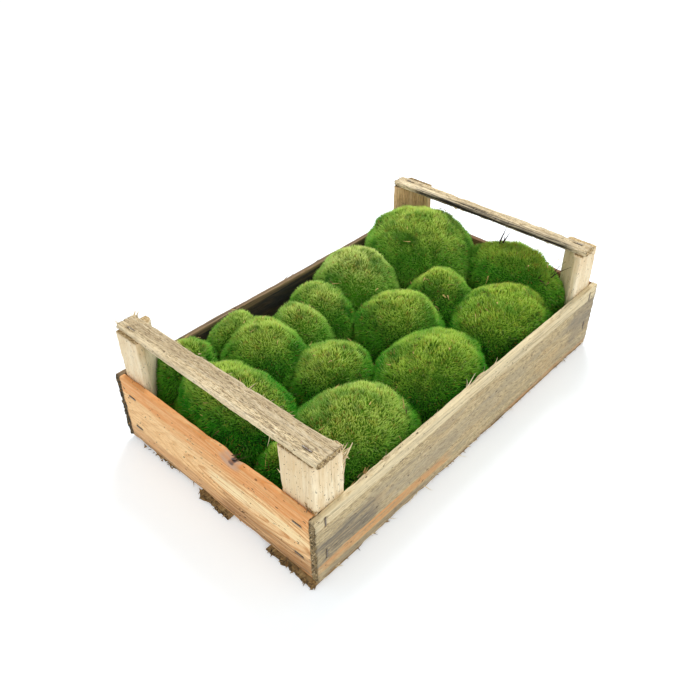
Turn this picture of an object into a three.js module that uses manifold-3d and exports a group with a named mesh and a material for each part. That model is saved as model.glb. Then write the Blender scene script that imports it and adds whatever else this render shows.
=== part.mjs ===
import * as THREE from 'three';
import { mergeVertices } from 'three/addons/utils/BufferGeometryUtils.js';
import Module from 'manifold-3d';

const wasm = await Module();
wasm.setup();

// Crate, mm: X is its width, Y its length, Z up from the floor
const crateWidth = 300;
const crateLength = 500;
const crateTop = 155;
const fitGap = 0.3;

const slatThickness = 6;
const boardTop = 94;
const sideThickness = 7;
const endThickness = 8;
const edgeChamfer = 1;
const railThickness = 6;

const insideX = crateWidth / 2 - sideThickness;
const insideY = crateLength / 2 - endThickness;
const boardBottom = slatThickness + fitGap;
const postTop = crateTop - railThickness - fitGap;

// Bottom slats: each runs the whole length between these two X edges
const slats = [
  { name: 'slat_left', low: -150, high: -66 },
  { name: 'slat_middle', low: -22, high: 27 },
  { name: 'slat_right', low: 84, high: 148 },
];

// Corner posts: legs of the triangle along X and Y, and the width of its blunted tips
const postTip = 8;
const posts = [
  { name: 'post_front_left', sideX: -1, sideY: -1, legX: 35, legY: 38 },
  { name: 'post_front_right', sideX: 1, sideY: -1, legX: 43, legY: 37 },
  { name: 'post_back_left', sideX: -1, sideY: 1, legX: 38, legY: 37 },
  { name: 'post_back_right', sideX: 1, sideY: 1, legX: 36, legY: 38 },
];

// Handle rails: outer and inner Y edge at the left end, then at the right end
const rails = [
  { name: 'rail_front', left: -145, right: 147, edges: [-238, -215, -210.5, -241] },
  { name: 'rail_back', left: -144, right: 145, edges: [207, 227, 228, 208] },
];

// Moss cushions: centre, half widths and height; the widest level is a share of the height
const widestLevel = 0.55;
const baseShare = 0.8;
// Cushions closer than this many times their two reaches are parted by a plane
const pressReach = 1.3;
const cushionSides = 24;
const cushionRings = 6;
const cushions = [
  { name: 'moss_back_left', x: -68, y: 171, a: 75, b: 69, top: 146, colour: 0x5f8f2c },
  { name: 'moss_back_right', x: 51, y: 206, a: 76, b: 36, top: 129, colour: 0x53852a },
  { name: 'moss_left_pale', x: -87, y: 65, a: 56, b: 54, top: 126, colour: 0x7d9e4b },
  { name: 'moss_back_small', x: 10, y: 116, a: 42, b: 39, top: 115, colour: 0x5a8a2c },
  { name: 'moss_centre', x: 4, y: 42, a: 54, b: 51, top: 111, colour: 0x638f34 },
  { name: 'moss_left_upper', x: -80, y: -5, a: 46, b: 34, top: 113, colour: 0x6f9a40 },
  { name: 'moss_left_lower', x: -69, y: -54, a: 39, b: 33, top: 113, colour: 0x6b963c },
  { name: 'moss_right_back', x: 87, y: 133, a: 56, b: 72, top: 108, colour: 0x5c8c2d },
  { name: 'moss_left_edge', x: -112, y: -117, a: 31, b: 34, top: 115, colour: 0x688f3a },
  { name: 'moss_left_front', x: -58, y: -115, a: 42, b: 46, top: 127, colour: 0x5f8f30 },
  { name: 'moss_front_left', x: -111, y: -186, a: 32, b: 40, top: 115, colour: 0x5d8a30 },
  { name: 'moss_centre_front', x: 8, y: -84, a: 46, b: 52, top: 112, colour: 0x5b8c2e },
  { name: 'moss_right_middle', x: 86, y: -6, a: 57, b: 69, top: 115, colour: 0x578829 },
  { name: 'moss_front', x: -24, y: -191, a: 75, b: 50, top: 124, colour: 0x5e8d2f },
  { name: 'moss_front_right', x: 86, y: -130, a: 56, b: 71, top: 111, colour: 0x639336 },
  { name: 'moss_front_small', x: 62, y: -209, a: 32, b: 30, top: 100, colour: 0x4f7f27 },
];

// Staples: bent wire with its back just under the wood's surface
const stapleWidth = 11;
const stapleWire = 1.2;
const stapleLength = 14;
const stapleSink = 0.2;

const group = new THREE.Group();
group.name = 'cushion_moss_in_wooden_crate';

function solidOf(geometry) {
  const bare = new THREE.BufferGeometry();
  bare.setAttribute('position', geometry.getAttribute('position').clone());
  if (geometry.index) {
    bare.setIndex(geometry.index.clone());
  }
  const merged = mergeVertices(bare, 1e-4);
  const triangles = [];
  const index = merged.index.array;
  for (let i = 0; i < index.length; i += 3) {
    const [a, b, c] = [index[i], index[i + 1], index[i + 2]];
    if (a !== b && b !== c && a !== c) {
      triangles.push(a, b, c);
    }
  }
  return new wasm.Manifold(new wasm.Mesh({
    numProp: 3,
    vertProperties: new Float32Array(merged.getAttribute('position').array),
    triVerts: new Uint32Array(triangles),
  }));
}

function addNode(name, solid, colour, roughness, metalness) {
  const mesh = solid.getMesh();
  const geometry = new THREE.BufferGeometry();
  geometry.setAttribute('position', new THREE.BufferAttribute(new Float32Array(mesh.vertProperties), 3));
  geometry.setIndex(new THREE.BufferAttribute(new Uint32Array(mesh.triVerts), 1));
  geometry.computeVertexNormals();
  const material = new THREE.MeshStandardMaterial({ color: colour, roughness, metalness });
  const node = new THREE.Mesh(geometry, material);
  node.name = name;
  group.add(node);
}

// A flat outline given a thickness, with chamfered edges; local Z runs through the thickness
function plank(outline, thickness, chamfer) {
  const shape = new THREE.Shape(outline.map(([u, v]) => new THREE.Vector2(u, v)));
  const geometry = new THREE.ExtrudeGeometry(shape, {
    depth: thickness - 2 * chamfer,
    bevelEnabled: chamfer > 0,
    bevelThickness: chamfer,
    bevelSize: chamfer,
    bevelOffset: -chamfer,
    bevelSegments: 1,
  });
  return geometry.translate(0, 0, chamfer);
}

// Outline of an upright board: straight bottom, and a top edge through the given points
function boardOutline(topEdge) {
  const curve = new THREE.SplineCurve(topEdge.map(([u, v]) => new THREE.Vector2(u, v)));
  const top = curve.getPoints(2 * (topEdge.length - 1)).map((point) => [point.x, point.y]);
  const first = topEdge[0][0];
  const last = topEdge[topEdge.length - 1][0];
  return [[first, boardBottom], [last, boardBottom], ...top.reverse()];
}

// Staple shape; extra widens it into the slot that it sits in
function stapleSolid(place, extra) {
  const half = stapleWidth / 2 + extra;
  const wire = stapleWire + 2 * extra;
  const head = extra > 0 ? 1 : -stapleSink;
  const inner = -stapleSink - stapleWire - extra;
  const foot = -stapleSink - stapleLength - extra;
  const outline = [
    [-half, head], [-half, foot], [-half + wire, foot], [-half + wire, inner],
    [half - wire, inner], [half - wire, foot], [half, foot], [half, head],
  ];
  const geometry = plank(outline, wire, 0).translate(0, 0, -wire / 2);
  const along = new THREE.Vector3(...place.along);
  const out = new THREE.Vector3(...place.out);
  const basis = new THREE.Matrix4().makeBasis(along, out, along.clone().cross(out));
  geometry.applyMatrix4(basis.setPosition(...place.at));
  return solidOf(geometry);
}

const wood = new Map();

// Bottom slats
for (const slat of slats) {
  const end = crateLength / 2;
  const outline = [[slat.low, -end], [slat.high, -end], [slat.high, end], [slat.low, end]];
  wood.set(slat.name, { solid: solidOf(plank(outline, slatThickness, 0.6)), colour: 0x6e5638 });
}

// Side boards, one each side, over the whole length
const sideTops = {
  side_left: [[-250, 93], [-120, 94], [30, 93.4], [160, 94], [250, 93.2]],
  side_right: [[-250, 90.5], [-140, 92.6], [20, 94], [150, 93.3], [250, 94]],
};
for (const [name, topEdge] of Object.entries(sideTops)) {
  const geometry = plank(boardOutline(topEdge), sideThickness, edgeChamfer);
  geometry.applyMatrix4(new THREE.Matrix4().set(0, 0, 1, 0, 1, 0, 0, 0, 0, 1, 0, 0, 0, 0, 0, 1));
  geometry.translate(name === 'side_left' ? -crateWidth / 2 : insideX, 0, 0);
  wood.set(name, { solid: solidOf(geometry), colour: name === 'side_left' ? 0x6a553f : 0xb49b76 });
}

// End boards, held between the side boards; the front one dips at its knot
const endReach = insideX - fitGap;
const endTops = {
  end_front: [[-endReach, 93], [-90, 94], [-20, 93.6], [14, 91], [44, 93], [90, 93.4], [endReach, 92]],
  end_back: [[-endReach, 93.4], [-40, 94], [60, 93.2], [endReach, 94]],
};
for (const [name, topEdge] of Object.entries(endTops)) {
  const geometry = plank(boardOutline(topEdge), endThickness, edgeChamfer);
  geometry.rotateX(Math.PI / 2);
  geometry.translate(0, name === 'end_front' ? -insideY : crateLength / 2, 0);
  wood.set(name, { solid: solidOf(geometry), colour: name === 'end_front' ? 0xc98f55 : 0x7b5a40 });
}

// Corner posts: triangular battens with their square corner outwards
for (const post of posts) {
  const { sideX, sideY, legX, legY } = post;
  const cornerX = sideX * (insideX - fitGap);
  const cornerY = sideY * (insideY - fitGap);
  const outline = [
    [cornerX, cornerY], [cornerX - sideX * legX, cornerY],
    [cornerX - sideX * legX, cornerY - sideY * postTip],
    [cornerX - sideX * postTip, cornerY - sideY * legY], [cornerX, cornerY - sideY * legY],
  ];
  const geometry = plank(outline, postTop - boardBottom, 0.8).translate(0, 0, boardBottom);
  wood.set(post.name, { solid: solidOf(geometry), colour: 0xd9c193 });
}

// Handle rails, laid flat across the two posts of each end
for (const rail of rails) {
  const [outerLeft, innerLeft, innerRight, outerRight] = rail.edges;
  const outline = [
    [rail.left, outerLeft], [rail.right, outerRight], [rail.right, innerRight], [rail.left, innerLeft],
  ];
  const geometry = plank(outline, railThickness, edgeChamfer);
  geometry.translate(0, 0, crateTop - railThickness);
  wood.set(rail.name, { solid: solidOf(geometry), colour: 0xa8926d });
}

// Staples: where each sits, which way its back runs, which way it faces, and what it holds
const staples = [];
for (const post of posts) {
  const { sideX, sideY } = post;
  const corner = post.name.replace('post_', '');
  const end = sideY < 0 ? 'end_front' : 'end_back';
  const side = sideX < 0 ? 'side_left' : 'side_right';
  const rail = sideY < 0 ? 'rail_front' : 'rail_back';
  for (const [level, z] of [['low', 28], ['high', 72]]) {
    staples.push({
      name: `staple_${corner}_end_${level}`,
      at: [sideX * 126, sideY * crateLength / 2, z], along: [1, 0, 0], out: [0, sideY, 0],
      through: [end, post.name],
    });
  }
  for (const [level, z] of [['low', 38], ['high', 82]]) {
    staples.push({
      name: `staple_${corner}_side_${level}`,
      at: [sideX * crateWidth / 2, sideY * 236, z], along: [0, 0, 1], out: [sideX, 0, 0],
      through: [side, post.name],
    });
  }
  staples.push({
    name: `staple_${corner}_rail`,
    at: [sideX * 127, sideY < 0 ? -232 : 222, crateTop], along: [1, 0, 0], out: [0, 0, 1],
    through: [rail, post.name],
  });
}
for (const slat of slats) {
  for (const [end, sideY] of [['front', -1], ['back', 1]]) {
    staples.push({
      name: `staple_${slat.name}_${end}`,
      at: [(slat.low + slat.high) / 2, sideY * (insideY + endThickness / 2), 0],
      along: [1, 0, 0], out: [0, 0, -1],
      through: [slat.name, `end_${end}`],
    });
  }
}
for (const staple of staples) {
  for (const name of staple.through) {
    const board = wood.get(name);
    board.solid = board.solid.subtract(stapleSolid(staple, fitGap));
  }
}
for (const [name, board] of wood) {
  addNode(name, board.solid, board.colour, 0.85, 0);
}
for (const staple of staples) {
  addNode(staple.name, stapleSolid(staple, 0), 0x8d8b86, 0.4, 0.9);
}

// Half width of a cushion's outline in a given direction
function reach(cushion, dx, dy) {
  return 1 / Math.hypot(dx / cushion.a, dy / cushion.b);
}

// Dome: narrow flat base, widest partway up, round top
function dome(cushion) {
  const middle = cushion.top * widestLevel;
  const profile = [new THREE.Vector2(0, boardBottom), new THREE.Vector2(baseShare, boardBottom)];
  profile.push(new THREE.Vector2(0.95, boardBottom + (middle - boardBottom) * 0.45));
  for (let i = 0; i <= cushionRings; i += 1) {
    const angle = (i / cushionRings) * Math.PI / 2;
    const radius = i === cushionRings ? 0 : Math.cos(angle);
    profile.push(new THREE.Vector2(radius, middle + (cushion.top - middle) * Math.sin(angle)));
  }
  const geometry = new THREE.LatheGeometry(profile, cushionSides);
  geometry.rotateX(Math.PI / 2);
  geometry.scale(cushion.a, cushion.b, 1);
  return solidOf(geometry.translate(cushion.x, cushion.y, 0));
}

// Keep the part of a solid on the far side of an upright plane through a point
function keepBeyond(solid, normal, x, y) {
  return solid.trimByPlane([normal[0], normal[1], 0], normal[0] * x + normal[1] * y);
}

// Cushions press flat against each other, the boards and the posts
for (const cushion of cushions) {
  let solid = dome(cushion);
  solid = keepBeyond(solid, [1, 0], -insideX + fitGap, 0);
  solid = keepBeyond(solid, [-1, 0], insideX - fitGap, 0);
  solid = keepBeyond(solid, [0, 1], 0, -insideY + fitGap);
  solid = keepBeyond(solid, [0, -1], 0, insideY - fitGap);
  for (const post of posts) {
    const tipX = post.sideX * (insideX - fitGap - post.legX);
    const tipY = post.sideY * (insideY - fitGap - postTip);
    const length = Math.hypot(post.legX - postTip, post.legY - postTip);
    const normal = [
      -post.sideX * (post.legY - postTip) / length,
      -post.sideY * (post.legX - postTip) / length,
    ];
    solid = keepBeyond(solid, normal, tipX + normal[0] * fitGap, tipY + normal[1] * fitGap);
  }
  for (const other of cushions) {
    const distance = Math.hypot(other.x - cushion.x, other.y - cushion.y);
    if (other === cushion) {
      continue;
    }
    const [dx, dy] = [(other.x - cushion.x) / distance, (other.y - cushion.y) / distance];
    const own = reach(cushion, dx, dy);
    const total = own + reach(other, dx, dy);
    if (distance < pressReach * total) {
      const share = distance * own / total - fitGap / 2;
      solid = keepBeyond(solid, [-dx, -dy], cushion.x + dx * share, cushion.y + dy * share);
    }
  }
  addNode(cushion.name, solid, cushion.colour, 0.95, 0);
}

export default group;
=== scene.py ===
import math
import bpy
import numpy as np
from mathutils import Euler, Matrix, Vector


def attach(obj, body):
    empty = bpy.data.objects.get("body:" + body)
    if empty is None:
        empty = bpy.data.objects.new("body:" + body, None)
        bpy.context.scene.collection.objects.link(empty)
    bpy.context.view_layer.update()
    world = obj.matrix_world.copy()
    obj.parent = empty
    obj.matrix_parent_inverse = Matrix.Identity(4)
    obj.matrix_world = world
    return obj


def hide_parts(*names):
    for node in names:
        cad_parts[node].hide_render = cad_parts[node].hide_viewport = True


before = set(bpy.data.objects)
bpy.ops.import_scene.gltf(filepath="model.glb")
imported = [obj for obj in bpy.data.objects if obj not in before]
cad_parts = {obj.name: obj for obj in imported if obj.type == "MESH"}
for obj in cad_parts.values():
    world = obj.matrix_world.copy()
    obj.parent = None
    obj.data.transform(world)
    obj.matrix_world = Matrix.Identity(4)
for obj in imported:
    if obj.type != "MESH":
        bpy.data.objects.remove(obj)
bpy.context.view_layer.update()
mm = 0.001


def linear(red, green, blue):  # a screen colour, 0 to 255, as the linear values shaders take
    def one(c):
        c = c / 255
        return c / 12.92 if c <= 0.04045 else ((c + 0.055) / 1.055) ** 2.4
    return (one(red), one(green), one(blue), 1.0)


class Val:  # a socket that takes part in sums, with plain numbers on either side
    def __init__(self, shader, socket):
        self.shader = shader
        self.socket = socket

    def math(self, operation, *others):
        return self.shader.node("Math", {"operation": operation}, [self, *others]).out()

    def __add__(self, other):
        return self.math("ADD", other)

    __radd__ = __add__

    def __sub__(self, other):
        return self.math("SUBTRACT", other)

    def __rsub__(self, other):
        return self.shader.node("Math", {"operation": "SUBTRACT"}, [other, self]).out()

    def __mul__(self, other):
        return self.math("MULTIPLY", other)

    __rmul__ = __mul__

    def __truediv__(self, other):
        return self.math("DIVIDE", other)

    def __rtruediv__(self, other):
        return self.shader.node("Math", {"operation": "DIVIDE"}, [other, self]).out()

    def clamp(self):
        return self.shader.node("Clamp", {}, [self, 0.0, 1.0]).out()

    def fade(self, low, high):  # 0 at low, 1 at high, smooth between; low may be the higher
        settings = {"interpolation_type": "SMOOTHSTEP"}
        if low <= high:
            return self.shader.node("MapRange", settings, [self, low, high, 0.0, 1.0]).out()
        return self.shader.node("MapRange", settings, [self, high, low, 1.0, 0.0]).out()


class Made:  # a node and its outputs
    def __init__(self, shader, node):
        self.shader = shader
        self.made = node

    def out(self, name=0):
        if isinstance(name, int):
            return Val(self.shader, [s for s in self.made.outputs if s.enabled][name])
        return Val(self.shader, self.made.outputs[name])


class Shader:  # one material, built socket by socket
    def __init__(self, name):
        self.material = bpy.data.materials.new(name)
        self.material.use_nodes = True
        self.tree = self.material.node_tree
        self.tree.nodes.clear()
        self.surface = self.node("BsdfPrincipled", {}, {})
        self.node("OutputMaterial", {}, {"Surface": self.surface.out()})

    def feed(self, socket, value):  # a link, a screen colour of three parts, or a plain value
        if isinstance(value, Val):
            self.tree.links.new(value.socket, socket)
        elif isinstance(value, tuple) and len(value) == 3:
            socket.default_value = linear(*value)
        else:
            socket.default_value = value

    def node(self, kind, settings, inputs):
        made = self.tree.nodes.new("ShaderNode" + kind)
        for key, value in settings.items():
            if key == "stops":
                ramp = made.color_ramp
                while len(ramp.elements) < len(value):
                    ramp.elements.new(0.5)
                for element, (place, colour) in zip(ramp.elements, value):
                    element.position = place
                    element.color = linear(*colour)
            else:
                setattr(made, key, value)
        sockets = [s for s in made.inputs if s.enabled]
        pairs = zip(sockets, inputs) if isinstance(inputs, list) else \
            [(made.inputs[key], value) for key, value in inputs.items()]
        for socket, value in pairs:
            self.feed(socket, value)
        return Made(self, made)

    def attribute(self, name, output="Fac"):
        return self.node("Attribute", {"attribute_name": name}, {}).out(output)

    def vector(self, x, y, z):
        return self.node("CombineXYZ", {}, [x, y, z]).out()

    def split(self, vector):
        parts = self.node("SeparateXYZ", {}, [vector])
        return parts.out("X"), parts.out("Y"), parts.out("Z")

    def noise(self, vector, scale=1.0, detail=2.0, rough=0.5):
        return self.node("TexNoise", {}, {
            "Vector": vector, "Scale": scale, "Detail": detail, "Roughness": rough}).out("Fac")

    def mix(self, first, second, amount):
        mixer = self.node("Mix", {"data_type": "RGBA"}, {}).made
        for name, value in (("Factor_Float", amount), ("A_Color", first), ("B_Color", second)):
            self.feed(next(s for s in mixer.inputs if s.identifier == name), value)
        return Val(self, next(s for s in mixer.outputs if s.identifier == "Result_Color"))

    def ramp(self, value, stops):
        return self.node("ValToRGB", {"stops": stops}, [value]).out("Color")

    def set(self, **inputs):
        for key, value in inputs.items():
            self.feed(self.surface.made.inputs[key.replace("_", " ")], value)

    def bump(self, height, depth, strength=1.0):
        made = self.node("Bump", {}, {"Height": height, "Distance": depth, "Strength": strength})
        self.set(Normal=made.out())


# shapes are worked out in millimetres; makePiece turns them into metres
def hashCells(cells, seed):
    code = cells[..., 0] * 374761393 + cells[..., 1] * 668265263 + cells[..., 2] * 1442695041
    code = (code + seed * 974711) & 0xffffffff
    code = ((code ^ (code >> 13)) * 1274126177) & 0xffffffff
    code = ((code ^ (code >> 16)) * 2246822519) & 0xffffffff
    return ((code ^ (code >> 15)) & 0xffff) / 65535.0


def softNoise(points, size, seed):  # -1 to 1; size is the width of a feature along each axis
    scaled = np.asarray(points, float) / np.asarray(size, float)
    base = np.floor(scaled)
    blend = scaled - base
    blend = blend * blend * (3 - 2 * blend)
    cells = base.astype(np.int64)
    total = np.zeros(scaled.shape[:-1])
    for corner in np.ndindex(2, 2, 2):
        step = np.array(corner)
        weight = np.prod(np.where(step, blend, 1 - blend), axis=-1)
        total += weight * hashCells(cells + step, seed)
    return total * 2 - 1


def makePiece(name, points, polygons, look, cadNode=None, values=None, grain=None,
              uv=None, smooth=True):
    mesh = bpy.data.meshes.new(name)
    sizes = np.concatenate([np.full(len(p), p.shape[1]) for p in polygons])
    loops = np.concatenate([p.reshape(-1) for p in polygons]).astype(np.int32)
    starts = np.concatenate([[0], np.cumsum(sizes)[:-1]]).astype(np.int32)
    mesh.vertices.add(len(points))
    mesh.vertices.foreach_set("co", (np.asarray(points) * mm).astype(np.float32).ravel())
    mesh.loops.add(len(loops))
    mesh.loops.foreach_set("vertex_index", loops)
    mesh.polygons.add(len(sizes))
    mesh.polygons.foreach_set("loop_start", starts)
    mesh.polygons.foreach_set("use_smooth", np.full(len(sizes), smooth))
    mesh.update(calc_edges=True)
    for key, array in (values or {}).items():
        layer = mesh.attributes.new(key, "FLOAT", "POINT")
        layer.data.foreach_set("value", np.asarray(array, np.float32))
    if grain is not None:
        layer = mesh.attributes.new("grain", "FLOAT_VECTOR", "POINT")
        layer.data.foreach_set("vector", np.asarray(grain, np.float32).ravel())
    if uv is not None:
        layer = mesh.uv_layers.new(name="OFBake")
        layer.data.foreach_set("uv", np.asarray(uv, np.float32)[loops].ravel())
    piece = bpy.data.objects.new(name, mesh)
    bpy.context.scene.collection.objects.link(piece)
    mesh.materials.append(look)
    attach(piece, "root")
    if cadNode:
        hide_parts(cadNode)
    return piece


def ringPoints(corners, radius, counts):  # polygon with rounded corners, counts steps per edge
    corners = np.asarray(corners, float)
    edges = np.roll(corners, -1, 0) - corners
    inset = edges / np.linalg.norm(edges, axis=1, keepdims=True) * radius
    begins, stops = corners + inset, np.roll(corners, -1, 0) - inset
    ring, arcs = [], []
    for k, corner in enumerate(corners):
        for t in (0.0, 0.33, 0.67, 1.0):
            ring.append((1 - t) ** 2 * stops[k - 1] + 2 * t * (1 - t) * corner + t * t * begins[k])
            arcs.append(1.0)
        for i in range(1, counts[k]):
            ring.append(begins[k] + (stops[k] - begins[k]) * i / counts[k])
            arcs.append(0.0)
    return np.array(ring), np.array(arcs)


def stapleBoxes():  # middle and half size of every staple, millimetres
    boxes = []
    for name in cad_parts:
        if name.startswith("staple_"):
            node = bpy.data.objects[name]
            corners = np.array([node.matrix_world @ Vector(c) for c in node.bound_box]) / mm
            boxes.append((corners.mean(0), (corners.max(0) - corners.min(0)) / 2))
    return boxes


staples = stapleBoxes()


# how deep the wood is pressed in round a staple, and how far round it, millimetres
dent = {"depth": 1.1, "from": 1.35, "reach": 2.4}
endWear = 14  # how far the torn look of a sawn end reaches along the timber


# a length of timber: a section drawn in two axes (across, depth), lofted along the third
def timber(name, spec, look):
    along, across, depth = spec["axes"]
    start = np.asarray(spec["section"], float)
    end = np.asarray(spec.get("endSection", spec["section"]), float)
    lengths = np.linalg.norm(np.roll(start, -1, 0) - start, axis=1)
    counts = [max(2, int(round(length / spec["across"]))) for length in lengths]
    ringA, arcs = ringPoints(start, spec["round"], counts)
    ringB, arcs = ringPoints(end, spec["round"], counts)
    low, high = spec["span"]
    rings = int((high - low) / spec["along"]) + 1
    share = np.linspace(0, 1, rings)[:, None, None]
    flat = ringA * (1 - share) + ringB * share  # rings x points x 2
    u = low + (high - low) * share[..., 0] + np.zeros(flat.shape[:2])
    tangent = np.roll(flat, -1, 1) - np.roll(flat, 1, 1)
    normal = np.stack([tangent[..., 1], -tangent[..., 0]], -1)
    normal /= np.linalg.norm(normal, axis=-1, keepdims=True)
    middle = flat.mean(1, keepdims=True)
    if ((flat - middle) * normal).sum() < 0:
        normal = -normal
    if "shape" in spec:
        flat = spec["shape"](u, flat)
    grain = np.stack([u, flat[..., 0], flat[..., 1]], -1)
    seed = spec["seed"]
    rough = spec["rough"]
    # raised fibres, and chips broken off the arrises
    push = rough * 0.45 * softNoise(grain, (38, 1.7, 1.7), seed)
    push += rough * 0.35 * softNoise(grain, (70, 6, 6), seed + 1)
    push += rough * 0.2 * softNoise(grain, (3.5, 3.5, 3.5), seed + 2)
    chips = np.clip(softNoise(grain, (16, 7, 7), seed + 3) - 0.15, 0, 1) * spec.get("chips", 1.2)
    chips += np.clip(softNoise(grain, (5, 4, 4), seed + 4) - 0.35, 0, 1) * spec.get("chips", 1.2)
    push -= chips * arcs
    flat = flat + normal * push[..., None]
    bow = spec.get("bow", 0.5) * softNoise(np.stack([u, u * 0, u * 0], -1), (140, 1, 1), seed + 5)
    flat[..., 1] += bow * np.sin(share[..., 0] * math.pi)
    columns = ["xyz".index(axis) for axis in (along, across, depth)]
    press = np.zeros(u.shape)  # dents round the staples
    surface = np.concatenate([u[..., None], flat], -1)
    for middle, halfSize in staples:
        gap = np.maximum(abs(surface - middle[columns]) - halfSize[columns], 0)
        near = dent["from"] - np.linalg.norm(gap, axis=-1) / dent["reach"]
        press = np.maximum(press, np.clip(near, 0, 1))
    flat = flat - normal * (dent["depth"] * press * press * (3 - 2 * press))[..., None]
    rag = spec["rag"]  # how torn the sawn ends are
    torn = softNoise(grain * [0, 1, 1], (1, 2.2, 2.2), seed + 6)
    torn += 0.6 * softNoise(grain * [0, 1, 1], (1, 0.9, 0.9), seed + 7)
    nearLow = np.clip(1 - (u - low) / endWear, 0, 1) ** 2
    nearHigh = np.clip(1 - (high - u) / endWear, 0, 1) ** 2
    u = u - rag * torn * nearLow + rag * np.roll(torn, 5, 1) * nearHigh
    points = [np.stack([u, flat[..., 0], flat[..., 1]], -1).reshape(-1, 3)]
    around = flat.shape[1]
    quads = []
    idx = np.arange(rings * around).reshape(rings, around)
    quads.append(np.stack([idx[:-1], np.roll(idx[:-1], -1, 1), np.roll(idx[1:], -1, 1), idx[1:]],
                          -1).reshape(-1, 4))
    edge = [np.tile(arcs, rings)]
    face = [np.zeros(rings * around)]
    total = rings * around
    tris = []
    # each end is closed by shrinking rings and a point in the middle
    for ring, flip in ((0, True), (rings - 1, False)):
        outer = idx[ring]
        rim = np.stack([u[ring], flat[ring, :, 0], flat[ring, :, 1]], -1)
        centre = rim.mean(0)
        for scale in (0.97, 0.72, 0.45, 0.2):
            inner = centre + (rim - centre) * scale
            wobble = softNoise(inner * [0, 1, 1], (1, 2.5, 2.5), seed + 8)
            inner[:, 0] = rim[:, 0] * scale + centre[0] * (1 - scale)
            inner[:, 0] += (0.4 * rag * wobble) + (0.25 if flip else -0.25)
            points.append(inner)
            edge.append(np.zeros(around))
            face.append(np.ones(around))
            fresh = np.arange(total, total + around)
            total += around
            quad = np.stack([outer, fresh, np.roll(fresh, -1), np.roll(outer, -1)], -1)
            quads.append(quad if flip else quad[:, ::-1])
            outer = fresh
        points.append(centre[None])
        edge.append(np.zeros(1))
        face.append(np.ones(1))
        tip = np.full(around, total)
        total += 1
        tri = np.stack([outer, tip, np.roll(outer, -1)], -1)
        tris.append(tri if flip else tri[:, ::-1])
    local = np.concatenate(points)
    out = np.zeros_like(local)
    out[:, columns] = local  # back from along, across, depth to X, Y, Z
    polygons = [np.concatenate(quads), np.concatenate(tris)]
    even = np.linalg.det(np.eye(3)[columns]) > 0
    startX, startY = start.T
    area = (startX * np.roll(startY, -1) - np.roll(startX, -1) * startY).sum()
    if even != (area > 0):
        polygons = [p[:, ::-1] for p in polygons]
    return makePiece(name, out, polygons, look, spec["node"],
                     {"edge": np.concatenate(edge), "cut": np.concatenate(face),
                      "press": np.concatenate([press.ravel(), np.zeros(total - press.size)])},
                     grain=local, smooth=True)


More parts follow.
